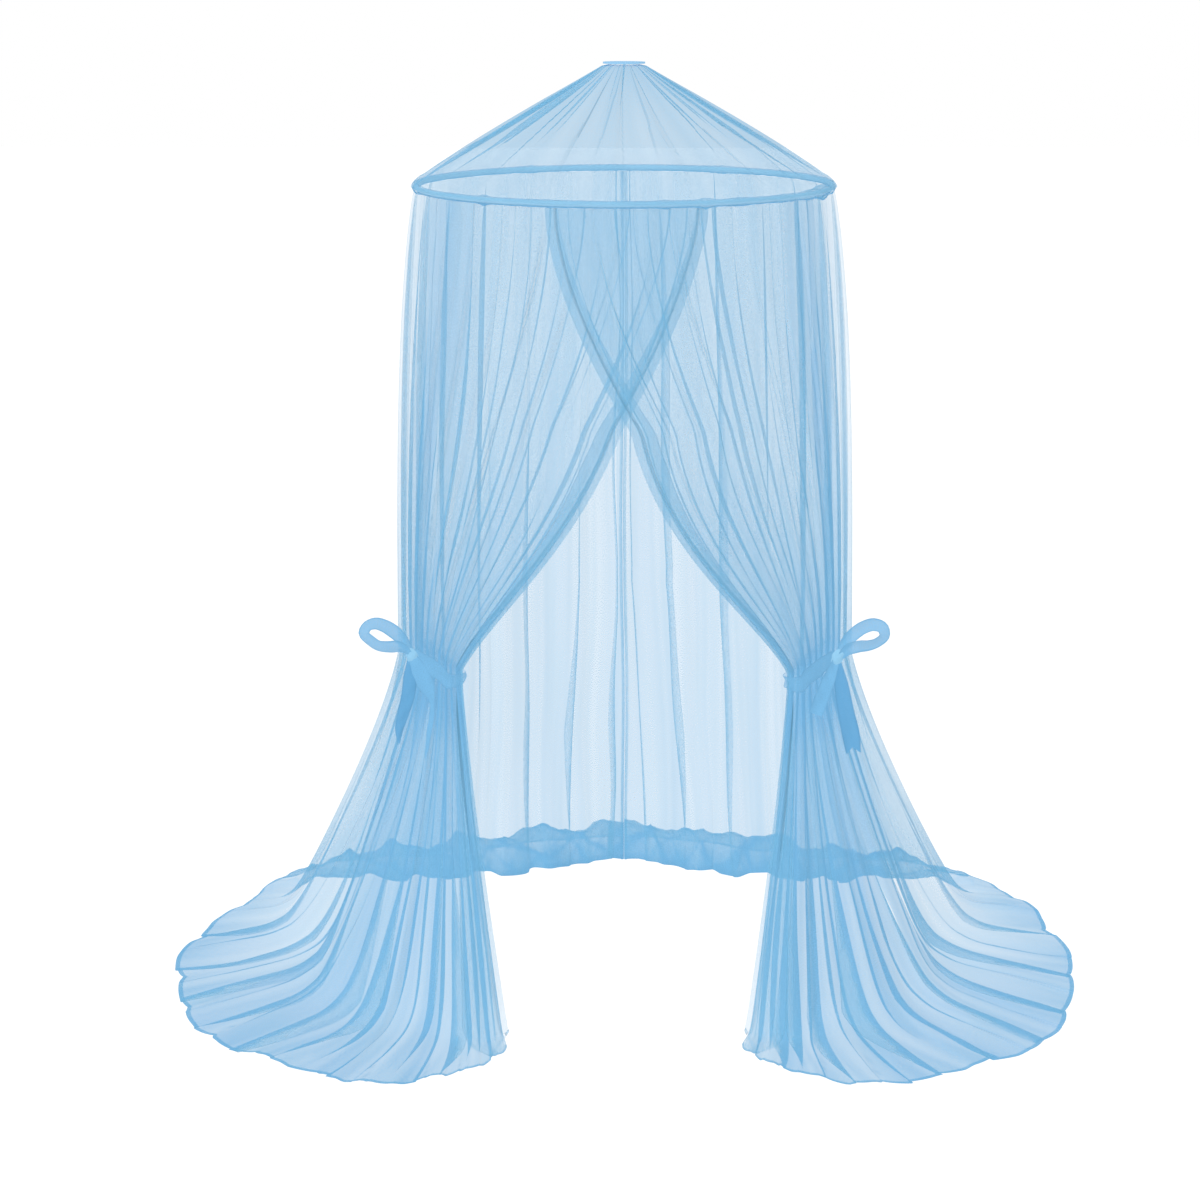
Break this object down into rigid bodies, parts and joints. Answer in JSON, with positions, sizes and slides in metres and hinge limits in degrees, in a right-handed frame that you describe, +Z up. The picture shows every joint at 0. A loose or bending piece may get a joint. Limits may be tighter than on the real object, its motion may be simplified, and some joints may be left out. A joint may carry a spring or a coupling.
{
  "type": "mosquito net canopy with hoop",
  "caption": "Sheer round mosquito net canopy: cone roof, cased hoop, and net curtains that cross at the front, tied back with ribbon bows and trailing on the floor.",
  "frame": {"origin": "middle of the crown's flat top face, where the canopy is hung; the floor is 2.317 m below it", "axes": "+Z up, -Y to the front where the net opens, +X to the right as the opening is faced from outside"},
  "size_m": [2.3626, 1.4774, 2.317],
  "materials": {
    "net": "sheer fine knitted net, light blue, matt with a faint sheen",
    "casing": "the same net in several layers, gathered along the hoop",
    "crown": "the same net folded into a flat stitched patch",
    "ribbon": "sheer woven ribbon, doubled, slightly darker than the net",
    "hoop": "plain smooth rod inside the casing"
  },
  "bodies": {
    "root": {"crown": "crown", "roof": "net", "hoop": "hoop", "hoop_casing": "casing", "net_left": "net", "net_right": "net", "tie_left": "ribbon", "tie_right": "ribbon"}
  },
  "joints": []
}
